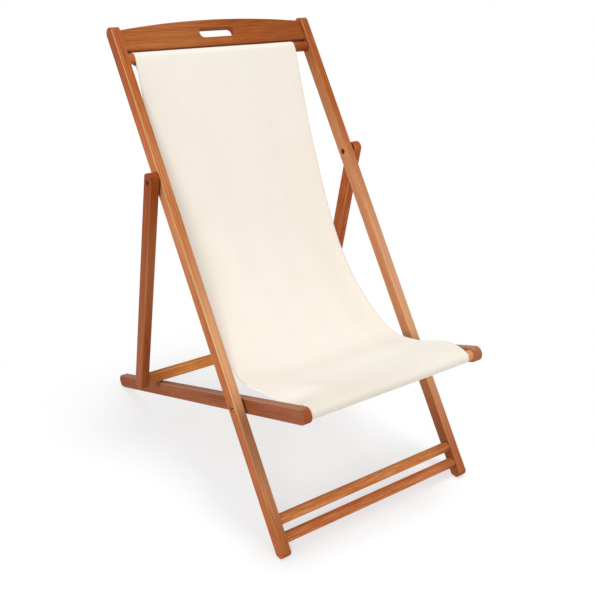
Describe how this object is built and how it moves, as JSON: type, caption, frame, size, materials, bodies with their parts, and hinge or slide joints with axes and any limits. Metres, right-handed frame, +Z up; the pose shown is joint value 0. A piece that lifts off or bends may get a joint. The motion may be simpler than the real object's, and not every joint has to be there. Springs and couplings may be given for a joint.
{
  "type": "folding beach chair",
  "caption": "Folding wooden sling chair with a canvas seat hung on dowels between crossed rail frames, a notched prop for recline and a slotted carrying rail.",
  "frame": {"origin": "on the ground under the middle of the open chair", "axes": "+Z up, -Y towards the sitter's feet, +X to the left of the sitter facing -Y"},
  "size_m": [0.611, 0.8836, 1.0191],
  "materials": {
    "wood": "oiled orange-brown hardwood, eased edges",
    "brass": "dull sunk bolt heads, sleeves and washers",
    "canvas": "plain woven cream canvas"
  },
  "bodies": {
    "back_frame": {"back_rail_left": "wood", "back_rail_right": "wood", "crest_rail": "wood", "head_dowel": "wood", "foot_dowel_upper": "wood", "foot_dowel_lower": "wood", "sling": "canvas", "seat_pivot_bolt_left": "brass", "seat_pivot_bolt_right": "brass", "seat_pivot_sleeve_left": "brass", "seat_pivot_sleeve_right": "brass", "seat_pivot_washer_left": "brass", "seat_pivot_washer_right": "brass", "prop_pivot_bolt_left": "brass", "prop_pivot_bolt_right": "brass", "prop_pivot_sleeve_left": "brass", "prop_pivot_sleeve_right": "brass", "prop_pivot_washer_left": "brass", "prop_pivot_washer_right": "brass"},
    "seat_frame": {"seat_rail_left": "wood", "seat_rail_right": "wood", "seat_dowel": "wood"},
    "prop_frame": {"prop_strut_left": "wood", "prop_strut_right": "wood", "prop_crossbar": "wood"}
  },
  "joints": [
    {"name": "seat_fold", "type": "hinge", "parent": "back_frame", "child": "seat_frame", "pos_m": [0, -0.21083, 0.27507], "axis": [1, 0, 0], "range_deg": [0, 75], "deforming": ["sling"]},
    {"name": "prop_fold", "type": "hinge", "parent": "back_frame", "child": "prop_frame", "pos_m": [0, 0.11467, 0.70656], "axis": [1, 0, 0], "range_deg": [0, 133.5]}
  ],
  "couplings": [
    {"joint": "prop_fold", "follows": "seat_fold", "ratio": 1.777}
  ]
}
